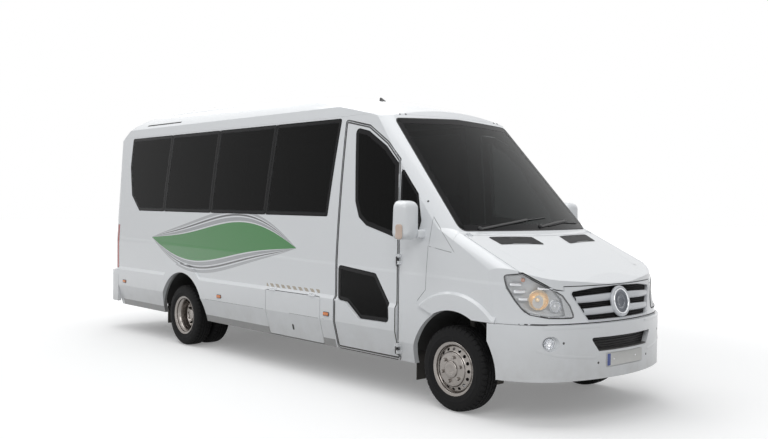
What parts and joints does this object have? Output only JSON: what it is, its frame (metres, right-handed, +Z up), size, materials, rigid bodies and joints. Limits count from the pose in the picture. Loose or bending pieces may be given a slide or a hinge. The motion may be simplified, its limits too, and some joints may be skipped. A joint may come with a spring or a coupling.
{
  "type": "minibus",
  "caption": "White passenger minibus on a long van body with opening doors, bonnet and luggage flap, steered front wheels and twin rear wheels.",
  "frame": {"origin": "on the ground under the middle of the overall length and width", "axes": "+X forward, +Y to the vehicle's left, +Z up"},
  "size_m": [7.345, 2.426, 2.835],
  "materials": {
    "white_paint": "gloss",
    "tinted_glass": "gloss",
    "clear_lens": "gloss",
    "red_lens": "gloss",
    "pale_plastic": "gloss",
    "black_plastic": "satin",
    "tyre_rubber": "matte",
    "black_rubber": "matte",
    "polished_steel": "polished",
    "cast_steel": "matte",
    "chassis_black": "satin",
    "exhaust_steel": "satin",
    "floor_lining": "matte",
    "seat_fabric": "matte"
  },
  "bodies": {
    "body": {"cab_front": "white_paint", "wing_right": "white_paint", "wing_left": "white_paint", "nose_panel": "white_paint", "grille": "pale_plastic", "front_lamps": "clear_lens", "front_bumper": "white_paint", "windscreen": "tinted_glass", "side_wall_right": "white_paint", "side_wall_left": "white_paint", "side_windows_right": "tinted_glass", "side_windows_left": "tinted_glass", "tail_lamps": "red_lens", "roof": "white_paint", "roof_unit": "white_paint", "rear_bumper": "white_paint", "mirror_right": "white_paint", "floor_pan": "floor_lining", "wheel_boxes_front": "black_plastic", "wheel_boxes_rear": "black_plastic", "entry_step": "floor_lining", "side_locker": "floor_lining", "chassis_rails": "chassis_black", "front_subframe": "cast_steel", "rear_suspension": "cast_steel", "engine": "cast_steel", "exhaust": "exhaust_steel", "fuel_tank": "chassis_black", "mudflaps": "black_rubber", "seat_frames": "chassis_black", "seats": "seat_fabric", "dashboard": "black_plastic"},
    "bonnet": {"bonnet": "white_paint"},
    "entry_door": {"entry_door": "white_paint", "entry_door_glass": "tinted_glass"},
    "driver_door": {"driver_door": "white_paint", "driver_door_glass": "tinted_glass", "mirror_left": "white_paint"},
    "rear_door_right": {"rear_door_right": "white_paint", "rear_window_right": "tinted_glass"},
    "rear_door_left": {"rear_door_left": "white_paint", "rear_window_left": "tinted_glass"},
    "luggage_flap": {"luggage_flap": "white_paint"},
    "knuckle_right": {"knuckle_right": "cast_steel"},
    "knuckle_left": {"knuckle_left": "cast_steel"},
    "wheel_front_right": {"tyre_front_right": "tyre_rubber", "rim_front_right": "polished_steel"},
    "wheel_front_left": {"tyre_front_left": "tyre_rubber", "rim_front_left": "polished_steel"},
    "wheels_rear_right": {"tyres_rear_right": "tyre_rubber", "rims_rear_right": "polished_steel"},
    "wheels_rear_left": {"tyres_rear_left": "tyre_rubber", "rims_rear_left": "polished_steel"},
    "steering_wheel": {"steering_wheel": "black_plastic"}
  },
  "joints": [
    {"name": "entry_door_hinge", "type": "hinge", "parent": "body", "child": "entry_door", "pos_m": [2.032, -0.996, 0.9], "axis": [0, 0, 1], "range_deg": [0, 80]},
    {"name": "driver_door_hinge", "type": "hinge", "parent": "body", "child": "driver_door", "pos_m": [2.387, 0.988, 1.15], "axis": [0, 0, -1], "range_deg": [0, 70]},
    {"name": "rear_door_right_hinge", "type": "hinge", "parent": "body", "child": "rear_door_right", "pos_m": [-3.6335, -0.7885, 1.4], "axis": [0, 0, 1], "range_deg": [0, 175]},
    {"name": "rear_door_left_hinge", "type": "hinge", "parent": "body", "child": "rear_door_left", "pos_m": [-3.6335, 0.7885, 1.4], "axis": [0, 0, -1], "range_deg": [0, 175]},
    {"name": "bonnet_hinge", "type": "hinge", "parent": "body", "child": "bonnet", "pos_m": [2.713, 0, 1.432], "axis": [0, -1, 0], "range_deg": [0, 55]},
    {"name": "luggage_flap_hinge", "type": "hinge", "parent": "body", "child": "luggage_flap", "pos_m": [0.5155, -0.996, 0.7935], "axis": [-1, 0, 0], "range_deg": [0, 100]},
    {"name": "steer_right", "type": "hinge", "parent": "body", "child": "knuckle_right", "pos_m": [2.6685, -0.705, 0.35], "axis": [0, 0, 1], "range_deg": [-35, 35]},
    {"name": "steer_left", "type": "hinge", "parent": "body", "child": "knuckle_left", "pos_m": [2.6685, 0.705, 0.35], "axis": [0, 0, 1], "range_deg": [-35, 35]},
    {"name": "wheel_front_right_spin", "type": "hinge", "parent": "knuckle_right", "child": "wheel_front_right", "pos_m": [2.6685, -0.855, 0.35], "axis": [0, 1, 0], "continuous": true},
    {"name": "wheel_front_left_spin", "type": "hinge", "parent": "knuckle_left", "child": "wheel_front_left", "pos_m": [2.6685, 0.855, 0.35], "axis": [0, 1, 0], "continuous": true},
    {"name": "wheels_rear_right_spin", "type": "hinge", "parent": "body", "child": "wheels_rear_right", "pos_m": [-1.6565, -0.752, 0.35], "axis": [0, 1, 0], "continuous": true},
    {"name": "wheels_rear_left_spin", "type": "hinge", "parent": "body", "child": "wheels_rear_left", "pos_m": [-1.6565, 0.752, 0.35], "axis": [0, 1, 0], "continuous": true},
    {"name": "steering_wheel_turn", "type": "hinge", "parent": "body", "child": "steering_wheel", "pos_m": [2.0285, 0.47, 1.35], "axis": [-0.8, 0, 0.6], "range_deg": [-600, 600]}
  ],
  "couplings": [
    {"joint": "steer_left", "follows": "steer_right", "ratio": 1}
  ]
}
